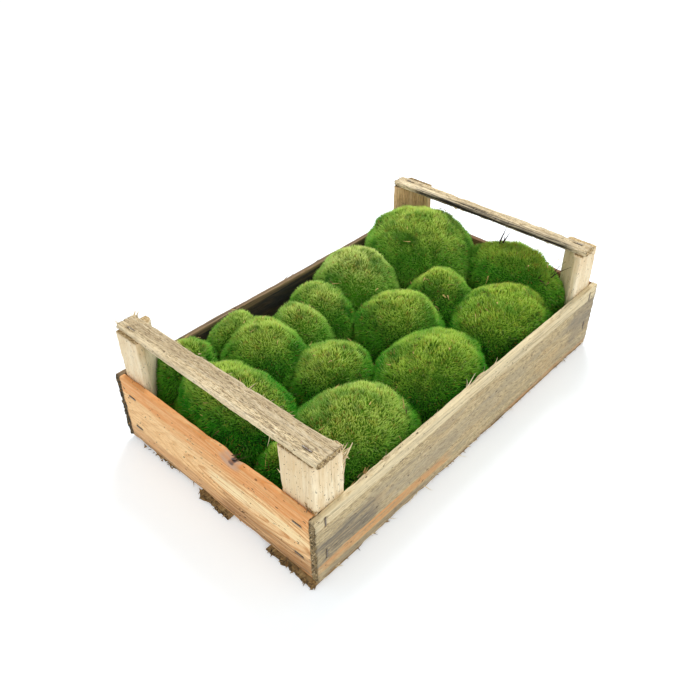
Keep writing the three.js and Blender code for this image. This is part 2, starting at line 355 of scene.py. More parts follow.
# in wood, u runs along the grain, v across the face and w through the piece
def timberLook(name, look):
    sh = Shader(name)
    grain = sh.attribute("grain", "Vector")
    u, v, w = sh.split(grain)
    seed = look["seed"] * 3.7
    # growth rings, as ovals around one or more centres on the face
    warp = sh.noise(sh.vector(u * 0.011 + seed, v * 0.045, w * 0.045), detail=2.0) - 0.5
    ringU, ringV, stretch, bulge = look["rings"]
    du = (u - ringU) * stretch
    dv = v - ringV + warp * look["warp"]
    away = (du * du + dv * dv + bulge * bulge).math("SQRT")
    for knotU, knotV, radius in look.get("knots", []):
        ku, kv = u - knotU, v - knotV
        near = ((ku * ku * 0.2 + kv * kv) / (radius * radius * 2.2) * -1).math("EXPONENT")
        away = away + near * radius * 1.6
    phase = away / look["ringGap"] + warp * 1.5
    tooth = phase.math("FRACT")
    late = tooth.fade(0.4, 0.88) * tooth.fade(1.0, 0.92)
    ringHere = look["ringStrength"]
    if "ringFade" in look:  # the rings are faint toward one end of the board
        ringHere = ringHere * (0.3 + 0.7 * u.fade(*look["ringFade"]))
    colour = sh.mix(look["pale"], look["dark"], late * ringHere)
    # long dark lines, then short dashes and pale flecks along the grain
    line = sh.noise(sh.vector(u * 0.012 + seed, v * 0.5, w * 0.5), detail=3.0, rough=0.6)
    colour = sh.mix(colour, look["fibre"], line.fade(0.5, 0.64) * look["lineStrength"])
    fineU, fineV = look["fine"]
    dash = sh.noise(sh.vector(u * fineU + seed, v * fineV, w * fineV), detail=4.0, rough=0.62)
    colour = sh.mix(colour, look["fibre"], dash.fade(0.51, 0.6) * look["dashStrength"])
    crack = sh.noise(sh.vector(u * 0.016 + seed, v * 0.8, w * 0.8), detail=3.0, rough=0.7)
    colour = sh.mix(colour, look["crack"], crack.fade(0.61, 0.66) * look["crackStrength"])
    colour = sh.mix(colour, look["light"], dash.fade(0.44, 0.34) * look["fleckStrength"])
    streak = sh.noise(sh.vector(u * 0.006 + seed, v * 0.16, w * 0.16), detail=2.0)
    colour = sh.mix(colour, look["light"], streak.fade(0.5, 0.7) * look["lightStrength"])
    # stains and weathering in soft patches
    patch = sh.noise(sh.vector(u * 0.014 + seed, v * 0.04 + seed, w * 0.04), detail=4.0, rough=0.6)
    colour = sh.mix(colour, look["stain"], patch.fade(*look["stainFrom"]) * look["stainStrength"])
    worn = sh.noise(sh.vector(u * 0.013 - seed, v * 0.06, w * 0.06), detail=5.0, rough=0.65)
    colour = sh.mix(colour, look["grey"], worn.fade(*look["greyFrom"]) * look["greyStrength"])
    # bands of colour along the timber, listed in each finish; the near-black band on the back rail
    # and the tan band on the front-right post's front face are painted shade
    for fromU, toU, fromV, toV, tone, amount in look.get("bands", []):
        edge = v + (streak - 0.5) * 26 + (dash - 0.5) * 5
        along = u + (worn - 0.5) * 60
        band = edge.fade(fromV - 3, fromV + 2) * edge.fade(toV + 3, toV - 2)
        band = band * along.fade(fromU - 14, fromU + 14) * along.fade(toU + 14, toU - 14)
        colour = sh.mix(colour, tone, band * amount * line.fade(0.72, 0.4))
    # small dark marks
    tiny = look["markSize"]
    spots = sh.vector(u * 0.17 / tiny + seed, v * 0.33 / tiny, w * 0.33 / tiny)
    mark = sh.noise(spots, detail=1.0, rough=0.7)
    colour = sh.mix(colour, look["mark"], mark.fade(*look["markFrom"]) * 0.85)
    for knotU, knotV, radius in look.get("knots", []):
        ku, kv = u - knotU, v - knotV
        off = (ku * ku * 0.3 + kv * kv * 0.9).math("SQRT") + (dash - 0.5) * radius * 0.9
        halo = off.fade(radius * 2.2, radius * 1.1)
        colour = sh.mix(colour, look["knotHalo"], halo * 0.85)
        eye = ((ku - radius * 0.5) * (ku - radius * 0.5) * 0.6 + kv * kv).math("SQRT")
        eye = eye + (dash - 0.5) * radius * 0.4
        colour = sh.mix(colour, look["knot"], eye.fade(radius * 0.8, radius * 0.35) * 0.9)
    cut = sh.attribute("cut")
    coarse = sh.noise(sh.vector(v * 0.55, w * 0.55, u * 0.3 + seed), detail=3.0, rough=0.7)
    ends = sh.mix(look["end"], look["endDark"], coarse.fade(0.42, 0.58))
    colour = sh.mix(colour, ends, cut * 0.95)
    edge = sh.attribute("edge")
    colour = sh.mix(colour, look["arris"], edge * look["arrisStrength"] * worn.fade(0.35, 0.6))
    colour = sh.mix(colour, look["mark"], sh.attribute("press").fade(0.3, 1.0) * 0.3)
    saw = sh.noise(sh.vector(u * 0.45, v * 0.08, w * 0.3), detail=1.0)
    height = dash * 0.7 + line * 0.5 + saw * look["saw"] + coarse * cut * 0.9
    sh.set(Base_Color=colour, Roughness=0.8 + (dash - 0.5) * 0.25, Specular_IOR_Level=0.2)
    sh.bump(height, 0.0012, look["bump"])
    return sh.material


def topProfile(knots):  # height of a board's top edge along its length, by straight steps
    at, tops = zip(*knots)

    def shape(u, flat):
        share = np.clip((flat[..., 0] - 50) / 40, 0, 1)  # only the upper part of it moves
        flat[..., 0] += (np.interp(u, at, tops) - crate["boardHigh"]) * share
        return flat
    return shape


def boardSection(low, high, thin):  # low to high across, thin[0] to thin[1] in depth
    return [(low, thin[0]), (high, thin[0]), (high, thin[1]), (low, thin[1])]


# what every timber finish starts from; each finish below changes some of it
plain = {
    "pale": (216, 194, 150), "dark": (182, 152, 108), "fibre": (126, 104, 76),
    "light": (236, 220, 182), "stain": (178, 138, 88), "grey": (140, 132, 116),
    "mark": (60, 42, 28), "crack": (76, 60, 42), "crackStrength": 0.55,
    "end": (176, 152, 108), "endDark": (74, 62, 44),
    "arris": (232, 214, 172), "knot": (70, 66, 68), "knotHalo": (170, 146, 122),
    "rings": (0, 20, 0.06, 10), "ringGap": 6.0, "warp": 26, "ringStrength": 0.4,
    "lineStrength": 0.45, "dashStrength": 0.5, "fleckStrength": 0.35, "lightStrength": 0.4,
    "stainStrength": 0.4, "stainFrom": (0.5, 0.7), "greyStrength": 0.4, "greyFrom": (0.5, 0.65),
    "fine": (0.085, 0.72), "arrisStrength": 0.4, "markFrom": (0.72, 0.76), "markSize": 1.0,
    "saw": 0.3, "bump": 0.7,
}


def crateLook(name, seed, **changes):
    return timberLook(name, {**plain, "seed": seed, **changes})


crate = {
    "halfLength": 250, "halfWidth": 150, "sideThick": 7, "endThick": 8, "endReach": 142.8,
    "boardLow": 6.2, "boardHigh": 94, "postHigh": 148.9, "postThick": 8, "postGap": 0.3,
    "railHeights": (149.1, 155), "slatHeights": (0.3, 5.9),
    "tops": {  # of the boards' top edges: place along the board, height
        "side_left": [(-250, 93), (-120, 94), (30, 93.4), (160, 94), (250, 93.2)],
        "side_right": [(-250, 90.5), (-140, 92.6), (20, 94), (150, 93.3), (250, 94)],
        "end_front": [(-143, 93), (-90, 94), (-20, 93.6), (-2, 93.4), (10, 94.6), (24, 95.6),
                      (32, 92.6), (42, 89.4), (50, 91.6), (90, 93.4), (143, 92)],
        "end_back": [(-143, 93.4), (-40, 94), (60, 93.2), (143, 94)]},
}

frontLook = crateLook(
    "honey_board", 1, pale=(247, 206, 150), dark=(212, 152, 92),
    fibre=(182, 126, 78), light=(252, 230, 184), stain=(214, 150, 88),
    grey=(184, 146, 110), fine=(0.14, 1.1), rings=(38, 44, 0.19, 0), ringGap=5.0,
    warp=11, ringStrength=1.0, ringFade=(-75, 15),
    lineStrength=0.25, dashStrength=0.36, fleckStrength=0.35, lightStrength=0.25,
    stainStrength=0.4, crack=(140, 84, 48), crackStrength=0.4, greyStrength=0.35,
    greyFrom=(0.56, 0.7), knots=[(37, 89.5, 4.4)],
    knot=(74, 72, 80), knotHalo=(196, 160, 134), arris=(224, 152, 92),
    markFrom=(0.7, 0.74),
    bands=[(-150, 40, 8, 24, (186, 138, 98), 0.6),
           (20, 150, 8, 33, (150, 106, 68), 0.8),
           (-150, 150, 4, 11, (116, 90, 66), 0.85),
           (-150, 150, 72, 99, (220, 142, 76), 0.75),
           (4, 60, 42, 56, (252, 232, 184), 0.95),
           (64, 138, 46, 58, (252, 230, 180), 0.9),
           (-60, 10, 56, 62, (246, 210, 156), 0.5)])
rightLook = crateLook(
    "weathered_board", 2, pale=(200, 180, 138), dark=(178, 154, 114),
    grey=(146, 138, 120), rings=(-40, 8, 0.03, 22), ringGap=7.0, ringStrength=0.3,
    fibre=(104, 90, 68), light=(226, 212, 178), lineStrength=0.25, dashStrength=0.7,
    fleckStrength=0.55, lightStrength=0.15, greyStrength=0.4, greyFrom=(0.46, 0.6),
    stain=(196, 158, 108), stainStrength=0.25, fine=(0.2, 1.15), bump=1.0,
    markFrom=(0.69, 0.73),
    bands=[(-250, -50, 15, 27, (212, 154, 98), 0.85),
           (-248, -165, 30, 58, (104, 99, 92), 0.8),
           (-250, 250, 80, 99, (236, 220, 180), 0.75),
           (-250, 60, 4, 10, (116, 100, 80), 0.75),
           (60, 260, 4, 10, (190, 136, 92), 0.7),
           (-150, 40, 36, 60, (160, 150, 130), 0.45),
           (196, 260, 30, 80, (112, 106, 98), 0.6)])
leftLook = crateLook(
    "dark_board", 3, pale=(94, 80, 64), dark=(66, 56, 46), fibre=(48, 40, 32),
    light=(142, 120, 90), stain=(40, 38, 38), grey=(44, 48, 54),
    greyStrength=0.72, greyFrom=(0.38, 0.56), arris=(158, 132, 98), arrisStrength=0.7,
    fleckStrength=0.15, bands=[(-260, 260, 88, 99, (140, 116, 86), 0.8)],
    end=(110, 96, 70), endDark=(40, 34, 26))
backLook = crateLook(
    "russet_board", 4, pale=(154, 116, 82), dark=(114, 82, 56),
    fibre=(84, 52, 36), light=(186, 136, 96), stain=(96, 54, 36),
    grey=(96, 84, 72), fleckStrength=0.2, arris=(150, 114, 82))
postLook = crateLook(
    "cream_post", 5, pale=(242, 227, 194), dark=(224, 198, 152), markSize=0.55,
    fibre=(198, 166, 118), light=(250, 240, 214), stain=(214, 176, 120),
    grey=(208, 188, 150), rings=(60, 0, 0.05, 8), ringGap=9, ringStrength=0.3,
    lineStrength=0.3, dashStrength=0.3, greyStrength=0.25, arris=(244, 230, 196),
    markFrom=(0.68, 0.72), end=(222, 198, 150), endDark=(150, 120, 80),
    bands=[(130, 160, -400, 400, (206, 172, 124), 0.4),
           # painted shade: a darker tan band over x 96 to 140 mm, meant for the front-right post's
           # front face
           (0, 150, 96, 140, (220, 192, 146), 0.6)])
tanPostLook = crateLook(
    "tan_post", 10, pale=(214, 176, 126), dark=(184, 142, 94),
    fibre=(132, 96, 62), light=(234, 204, 158), grey=(150, 122, 88),
    greyStrength=0.5, ringStrength=0.3, fine=(0.12, 0.8), arris=(232, 208, 164))
railLook = crateLook(
    "rail_timber", 6, pale=(230, 210, 168), dark=(192, 162, 118),
    fibre=(92, 74, 54), light=(246, 234, 204), stain=(172, 148, 112),
    grey=(160, 142, 112), lineStrength=0.35, dashStrength=0.8, fleckStrength=0.75,
    greyStrength=0.4, greyFrom=(0.44, 0.6), fine=(0.16, 1.1), end=(206, 180, 132),
    endDark=(120, 98, 68), bump=1.0, arris=(240, 224, 188),
    bands=[(-150, 150, -229, -208, (140, 120, 92), 0.4),
           (-150, 150, -246, -238, (236, 218, 180), 0.6),
           # painted shade: a near-black band on the back rail's near face and the near edge of its
           # top
           (-110, 125, 198, 216, (36, 30, 24), 0.97),
           (-110, 125, 200, 212, (30, 26, 22), 0.97)])
slatLook = crateLook(
    "bark_slat", 7, pale=(164, 132, 84), dark=(108, 82, 50), fibre=(66, 50, 34),
    light=(196, 166, 114), stain=(62, 46, 30), grey=(88, 76, 60),
    end=(158, 126, 80), endDark=(66, 50, 32), arris=(132, 104, 70), bump=1.0)

print("timber finishes ready")

reach, wide = crate["halfLength"], crate["halfWidth"]
low, high = crate["boardLow"], crate["boardHigh"]
sideThick, endThick, endReach = crate["sideThick"], crate["endThick"], crate["endReach"]
# axes, half length, steps along and across, depth, rounding, roughness, torn ends
boards = {
    "side_left": ("yzx", reach, 5, 2.4, (-wide, sideThick - wide), 1.3, 0.7, 1.0,
                  leftLook, "dark_board_wood"),
    "side_right": ("yzx", reach, 3.3, 1.8, (wide - sideThick, wide), 1.3, 0.7, 1.0,
                   rightLook, "pale_board_wood"),
    "end_front": ("xzy", endReach, 2.8, 1.8, (-reach, endThick - reach), 2.2, 0.6, 0.3,
                  frontLook, "orange_board_wood"),
    "end_back": ("xzy", endReach, 4, 2.4, (reach - endThick, reach), 2.0, 0.7, 0.3,
                 backLook, "dark_board_wood"),
}
for number, (name, board) in enumerate(boards.items()):
    axes, half, along, across, depth, rounding, rough, rag, look, slot = board
    timber("board_" + name, {
        "node": name, "axes": axes, "span": (-half, half), "along": along, "across": across,
        "section": boardSection(low, high, depth), "round": rounding, "rough": rough, "rag": rag,
        "seed": 11 + number, "shape": topProfile(crate["tops"][name])}, look)

# corner, which way it faces, and how far its legs reach along X and Y
posts = [("front_left", -1, -1, 35, 38), ("front_right", 1, -1, 43, 37),
         ("back_left", -1, 1, 38, 37), ("back_right", 1, 1, 36, 38)]
thick, gap = crate["postThick"], crate["postGap"]
for number, (corner, sideX, sideY, legX, legY) in enumerate(posts):
    cx, cy = sideX * (wide - sideThick - gap), sideY * (reach - endThick - gap)
    section = [(cx, cy), (cx - sideX * legX, cy), (cx - sideX * legX, cy - sideY * thick),
               (cx - sideX * thick, cy - sideY * legY), (cx, cy - sideY * legY)]
    timber("corner_post_" + corner, {
        "node": "post_" + corner, "axes": "zxy", "span": (low, crate["postHigh"]), "along": 3,
        "across": 2, "section": section, "round": 1.2, "rough": 0.8, "rag": 0.3, "bow": 0,
        "chips": 1.6, "seed": 20 + number},
        tanPostLook if corner == "back_left" else postLook)

# where a rail's ends are, then its edges at the left and at the right end
rails = {"front": ((-145, 147), (-238, -215), (-241, -210.5)),
         "back": ((-144, 145), (207, 227), (208, 228))}
for number, (place, (span, leftEdges, rightEdges)) in enumerate(rails.items()):
    timber("handle_rail_" + place, {
        "node": "rail_" + place, "axes": "xyz", "span": span, "along": 2.4, "across": 1.6,
        "section": boardSection(*leftEdges, crate["railHeights"]),
        "endSection": boardSection(*rightEdges, crate["railHeights"]),
        "round": 1.2, "rough": 0.9, "rag": 0.9, "bow": 0.3, "chips": 1.8, "seed": 31 + number},
        railLook)

slats = [("slat_left", -150, -66, -246), ("slat_middle", -22, 27, -253.6),
         ("slat_right", 84, 148, -253.6)]  # name, left and right edge, front end
for number, (name, left, right, front) in enumerate(slats):
    timber("bottom_" + name, {
        "node": name, "axes": "yxz", "span": (front, reach + 2.4), "along": 6.5, "across": 3.6,
        "section": boardSection(left, right, crate["slatHeights"]), "round": 1.0, "rough": 0.7,
        "rag": 2.6, "bow": 0, "chips": 1.6, "seed": 41 + number},
        slatLook)

print("timber built")

# moss cushions: a closed dome each, covered with closed spikes
moss = {
    "shoots": 165000, "length": 7.0, "width": 0.98, "lean": 0.3, "clumping": 0.46,
    "lowest": 50, "lowestSine": -0.45, "swell": 2.6, "widest": 0.55, "turn": 2.399963,
    "around": 72, "levels": 26, "foot": 6.4, "inside": (142.6, 241.6),
    # centre x, y, half widths a, b, top, how pale the crown and the sides are (0 deep, 1 pale),
    # which also sets their painted light and shade
    "cushions": [
        ("back_left", -68, 171, 75, 69, 146, 0.45, 0.95, "moss_mid"),
        ("back_right", 57, 204, 71, 38, 128, 0.2, 0.6, "moss_deep"),
        ("left_pale", -87, 65, 56, 54, 126, 1.0, 1.3, "moss_pale"),
        ("back_small", 7, 118, 48, 41, 111, 0.35, 0.35, "moss_mid"),
        ("centre", 4, 42, 54, 51, 111, 0.4, 0.45, "moss_mid"),
        ("left_upper", -80, -5, 46, 34, 113, 0.7, 0.75, "moss_pale"),
        ("left_lower", -69, -54, 39, 33, 113, 0.7, 1.2, "moss_pale"),
        ("right_back", 87, 133, 58, 72, 107, 0.15, 0.05, "moss_deep"),
        ("left_edge", -109, -114, 34, 38, 115, 0.65, 1.0, "moss_pale"),
        ("left_front", -58, -116, 47, 49, 126, 0.5, 0.6, "moss_mid"),
        ("front_left", -111, -186, 32, 40, 115, 0.45, 0.45, "moss_mid"),
        ("centre_front", 8, -84, 46, 52, 112, 0.45, 0.25, "moss_mid"),
        ("right_middle", 86, -6, 57, 69, 115, 0.2, 0.0, "moss_deep"),
        ("front", -26, -191, 72, 50, 124, 0.4, 0.0, "moss_mid"),
        ("front_right", 82, -131, 60, 72, 110, 0.6, 0.5, "moss_mid"),
        ("front_small", 67, -207, 30, 27, 98, 0.2, 0.0, "moss_deep"),
    ],
}


def mossLook(name, pale, sidePale):
    sh = Shader(name)
    height = sh.attribute("shoot")
    tone = sh.attribute("tone")
    place = sh.node("TexCoord", {}, {}).out("Object")
    broad = sh.noise(place, 28.0, 3.0, 0.6)
    fine = sh.noise(place, 120.0, 2.0, 0.6)
    # crown colour on parts facing up: the moss's own yellow-olive and also painted light from
    # above; side colour: its own deep green and also painted shade
    crown = sh.attribute("crown").fade(0.42, 1.05) + (broad - 0.5) * 0.9
    low = sidePale
    side = sh.ramp(height, [(0.0, (20 + 36 * low, 72 + 46 * low, 4)),
                            (0.16, (34 + 40 * low, 104 + 42 * low, 8 + 8 * low)),
                            (0.42, (42 + 56 * low, 138 + 32 * low, 6 + 30 * low)),
                            (0.9, (66 + 70 * low, 168 + 34 * low, 18 + 52 * low))])
    top = sh.ramp(height, [(0.0, (80, 124, 16)), (0.16, (118, 156, 28)),
                           (0.42, (142 + 28 * pale, 184 + 14 * pale, 42 + 40 * pale)),
                           (0.9, (180 + 34 * pale, 212 + 18 * pale, 74 + 58 * pale))])
    colour = sh.mix(side, top, crown.clamp())
    tuft = sh.attribute("tuft")
    colour = sh.mix(colour, (30, 84, 6), tuft.fade(0.45, 0.05) * 0.7)
    colour = sh.mix(colour, (180, 220, 84), tuft.fade(0.6, 1.0) * height * 0.4)
    golden = fine.fade(0.5, 0.7) * crown.clamp() * height
    colour = sh.mix(colour, (178, 156, 34), golden * 0.55)
    shaded = broad.fade(0.52, 0.34) * height.fade(0.05, 0.5)
    colour = sh.mix(colour, (30, 120, 14), shaded * 0.5)
    dry = tone.fade(0.92, 0.94) * fine.fade(0.42, 0.56)
    colour = sh.mix(colour, (152, 120, 50), dry * 0.9)
    colour = sh.mix(colour, (214, 216, 150), tone.fade(0.05, 0.03) * height * 0.5)
    sh.set(Base_Color=colour, Roughness=0.55 + (1 - height) * 0.3, Specular_IOR_Level=0.2)
    return sh.material


mossRandom = np.random.default_rng(5)


def domePoint(cushion, angle, rise):  # a point of the smooth dome and its outward direction
    name, x, y, a, b, top = cushion[:6]
    middle = top * moss["widest"]
    drop = np.where(rise < 0, middle * 0.95, top - middle)
    cosRise = np.where(rise < 0, np.cos(rise) ** 0.5, np.cos(rise))
    dx, dy = np.cos(angle) * cosRise, np.sin(angle) * cosRise
    up = np.sin(rise)
    point = np.stack([x + a * dx, y + b * dy, middle + drop * up], -1)
    normal = np.stack([dx / a, dy / b, up / drop], -1)
    return point, normal / np.linalg.norm(normal, axis=-1, keepdims=True)


def cushionRelief(points, seed):  # soft lobes and tufts on the dome, mm
    relief = 4.6 * softNoise(points, (40, 40, 40), seed)
    relief += 3.0 * softNoise(points, (17, 17, 17), seed + 1)
    relief += 1.9 * softNoise(points, (8, 8, 8), seed + 2)
    return relief


def mossCushion(cushion, number, share):
    name, x, y, a, b, top, pale, sidePale, slot = cushion
    seed = 100 + 10 * number
    inset = moss["length"] * 0.55
    core = (name, x, y, a - inset + moss["swell"], b - inset + moss["swell"], top - inset)
    # closed core under the shoots
    around, levels = moss["around"], moss["levels"]
    rise = np.linspace(-math.pi / 2, math.pi / 2, levels + 2)[1:-1]
    angle = np.linspace(0, 2 * math.pi, around, endpoint=False)
    angleGrid, riseGrid = np.meshgrid(angle, rise)
    body, normal = domePoint(core, angleGrid, riseGrid)
    body = body + normal * cushionRelief(body, seed)[..., None]
    ends = np.array([[x, y, 0], [x, y, body[-1, :, 2].mean()]])
    points = np.concatenate([body.reshape(-1, 3), ends])
    idx = np.arange(around * levels).reshape(levels, around)
    quads = np.stack([idx[:-1], np.roll(idx[:-1], -1, 1), np.roll(idx[1:], -1, 1), idx[1:]], -1)
    foot, crown = around * levels, around * levels + 1
    tris = [np.stack([np.roll(idx[0], -1), idx[0], np.full(around, foot)], -1),
            np.stack([idx[-1], np.roll(idx[-1], -1), np.full(around, crown)], -1)]
    points[:, 2] = np.maximum(points[:, 2], moss["foot"])
    shootAt = [np.zeros(len(points))]
    toneAt = [np.full(len(points), 0.5)]
    crownAt = [np.concatenate([normal[..., 2].ravel(), [0, 1]])]
    uvX, uvY = (points[:, 0] - x + a) / (2 * a), (points[:, 1] - y + b) / (2 * b) * 0.12
    uvAt = [np.stack([uvX, uvY], -1)]
    # shoots: slender closed spikes
    count = int(share * 1.5)
    fill = (np.arange(count) + 0.5) / count
    sine = moss["lowestSine"] + (1 - moss["lowestSine"]) * fill
    turn = np.arange(count) * moss["turn"] + mossRandom.normal(0, 0.02, count)
    riseAt = np.arcsin(np.clip(sine + mossRandom.normal(0, 0.006, count), -0.99, 0.999))
    root, out = domePoint(core, turn, riseAt)
    root = root + out * (cushionRelief(root, seed)[:, None] - 0.6)
    keep = root[:, 2] > moss["lowest"]
    for other in moss["cushions"]:  # none are grown inside a neighbour
        if other[0] != name:
            otherX, otherY, otherA, otherB, otherTop = other[1:6]
            away = np.hypot((root[:, 0] - otherX) / (otherA - 5),
                            (root[:, 1] - otherY) / (otherB - 5))
            middle = otherTop * moss["widest"]
            lift = np.maximum(root[:, 2] - middle, 0) / (otherTop - 6 - middle)
            keep &= away ** 2 + lift ** 2 > 1
    keep &= (abs(root[:, 0]) < 144) & (abs(root[:, 1]) < 243)
    root, out = root[keep], out[keep]
    count = len(root)
    clump = np.stack([softNoise(root, (7, 7, 7), seed + 3 + k) for k in range(3)], -1)
    spread = mossRandom.normal(0, moss["lean"], (count, 3)) + clump * moss["clumping"]
    aim = out + (spread + [0, 0, 0.12])
    aim /= np.linalg.norm(aim, axis=1, keepdims=True)
    tall = moss["length"] * (0.78 + 0.3 * mossRandom.random(count)
                             + 0.16 * softNoise(root, (7, 7, 7), seed + 7))
    tip = root + aim * tall[:, None]
    sideways = np.cross(aim, mossRandom.normal(0, 1, (count, 3)))
    sideways /= np.linalg.norm(sideways, axis=1, keepdims=True)
    third = np.cross(aim, sideways)
    thick = moss["width"] * (0.75 + 0.5 * mossRandom.random(count))[:, None] * 0.62
    base = []
    for k in range(3):
        turnK = 2 * math.pi * k / 3
        base.append(root + (sideways * math.cos(turnK) + third * math.sin(turnK)) * thick)
    spikes = np.stack([*base, tip], 1).reshape(-1, 3)
    first = len(points) + np.arange(count) * 4
    corners = np.array([[0, 1, 3], [1, 2, 3], [2, 0, 3], [2, 1, 0]])
    tris.append((first[:, None, None] + corners).reshape(-1, 3))
    tone = mossRandom.random(count)
    shootAt.append(np.tile([0.12, 0.12, 0.12, 1.0], count))
    toneAt.append(np.repeat(tone, 4))
    crownAt.append(np.repeat(out[:, 2], 4))
    tuft = 0.5 + 0.3 * softNoise(root, (5, 5, 5), seed + 8) + 0.2 * (tone - 0.5)
    tuft += 0.25 * softNoise(root, (13, 13, 13), seed + 9)
    tuftAt = [np.full(len(points), 0.5), np.repeat(tuft, 4)]
    columns = int(math.ceil(math.sqrt(count)))
    rows = int(math.ceil(count / columns))
    cellX, cellY = np.arange(count) % columns, np.arange(count) // columns
    cell = np.array([[0.1, 0.1], [0.5, 0.1], [0.9, 0.1], [0.5, 0.9]])
    uv = np.stack([cellX[:, None] + cell[:, 0], cellY[:, None] + cell[:, 1]], -1)
    uv = uv / [columns, rows] * [1.0, 0.86] + [0, 0.14]
    uvAt.append(uv.reshape(-1, 2))
    everything = np.concatenate([points, spikes])
    inside = np.array(moss["inside"])  # kept between the boards
    everything[:, :2] = np.clip(everything[:, :2], -inside, inside)
    look = mossLook("moss_" + name, pale, sidePale)
    return makePiece("cushion_" + name, everything, [quads.reshape(-1, 4), np.concatenate(tris)],
                     look, "moss_" + name,
                     {"shoot": np.concatenate(shootAt), "tone": np.concatenate(toneAt),
                      "crown": np.concatenate(crownAt), "tuft": np.concatenate(tuftAt)},
                     uv=np.concatenate(uvAt), smooth=True)


# the shoots are shared out by the surface of each cushion
areas = np.array([c[3] * c[4] + 0.8 * (c[3] + c[4]) * (c[5] - 50) / 2 for c in moss["cushions"]])
shares = moss["shoots"] * areas / areas.sum()
for number, cushion in enumerate(moss["cushions"]):
    mossCushion(cushion, number, shares[number])

print("moss built")


def sliverArrays(groups, random):  # closed tapering slivers, four sections each
    points, quads, grain, tones = [], [], [], []
    for count, lowCorner, highCorner, aim, spread, lengths, wide in groups:
        lowCorner, highCorner = np.array(lowCorner, float), np.array(highCorner, float)
        root = lowCorner + (highCorner - lowCorner) * random.random((count, 3))
        aims = np.array(aim, float) / np.linalg.norm(aim) + random.normal(0, spread, (count, 3))
        aims /= np.linalg.norm(aims, axis=1, keepdims=True)
        length = lengths[0] + (lengths[1] - lengths[0]) * random.random(count) ** 1.6
        curl = random.normal(0, 0.22, (count, 3))
        side = np.cross(aims, random.normal(0, 1, (count, 3)))
        side /= np.linalg.norm(side, axis=1, keepdims=True)
        third = np.cross(aims, side)
        width = wide * (0.5 + 0.9 * random.random(count))
        tone = random.random(count)
        first = sum(len(p) for p in points)
        sections = []
        for t in (0.0, 0.35, 0.7, 1.0):
            middle = root + aims * (length * t)[:, None] + curl * (length * t * t)[:, None]
            across = side * (width * (0.5 - 0.42 * t))[:, None]
            deep = third * (width * (0.18 - 0.12 * t))[:, None]
            sections.append(np.stack([middle - across - deep, middle + across - deep,
                                      middle + across + deep, middle - across + deep], 1))
        block = np.stack(sections, 1).reshape(-1, 3)
        points.append(block)
        offset = first + 16 * np.arange(count)[:, None, None]
        sides = [[4 * k + i, 4 * k + (i + 1) % 4, 4 * k + 4 + (i + 1) % 4, 4 * k + 4 + i]
                 for k in range(3) for i in range(4)]
        sides += [[3, 2, 1, 0], [12, 13, 14, 15]]
        quads.append((offset + np.array(sides)).reshape(-1, 4))
        along = np.tile([0, 0.35, 0.7, 1.0], (count, 1)) * length[:, None] + tone[:, None] * 400
        grain.append(np.stack([np.repeat(along.ravel(), 4), np.tile([0, 1, 1, 0], count * 4) * 1.5,
                               np.repeat(tone, 16) * 60], -1))
        tones.append(np.repeat(tone, 16))
    return [np.concatenate(part) for part in (points, quads, grain, tones)]


def slivers(name, groups, look, seed):
    points, quads, grain, tones = sliverArrays(groups, np.random.default_rng(seed))
    points[:, 2] = np.maximum(points[:, 2], 0.1)
    return makePiece(name, points, [quads], look, None, {"tone": tones}, grain=grain,
                     smooth=False)


